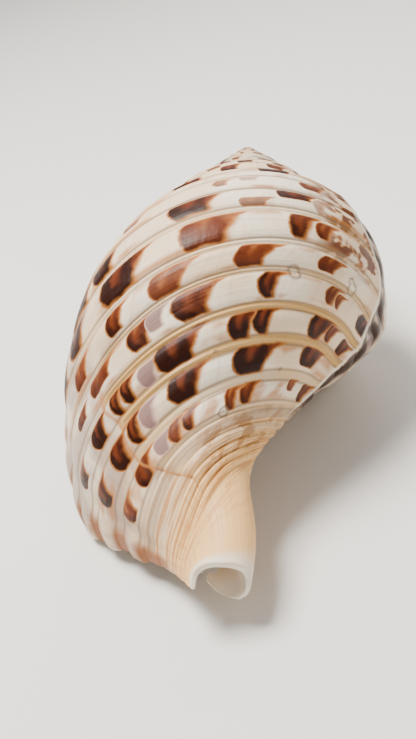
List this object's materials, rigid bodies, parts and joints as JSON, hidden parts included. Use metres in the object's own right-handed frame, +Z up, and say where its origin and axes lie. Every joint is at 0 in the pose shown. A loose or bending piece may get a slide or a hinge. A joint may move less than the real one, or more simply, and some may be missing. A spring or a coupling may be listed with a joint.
{
  "type": "triton shell",
  "caption": "Large spiral sea snail shell with broad spiral cords, thickened growth ridges, a flared hollow aperture and an open canal; lies on its aperture.",
  "frame": {"origin": "on the resting surface, under the middle of the shell's box", "axes": "+Y along the shell towards its apex, with the canal towards -Y; +Z up, out of the shell's back; the outer lip is on the -X side"},
  "size_m": [0.1268, 0.2478, 0.1009],
  "materials": {
    "shell": "natural shell: glossy cream-white ground with dark brown patches on the cords, peach-coloured base and canal, white lip rim"
  },
  "bodies": {
    "root": {"triton_shell": "shell"}
  },
  "joints": []
}
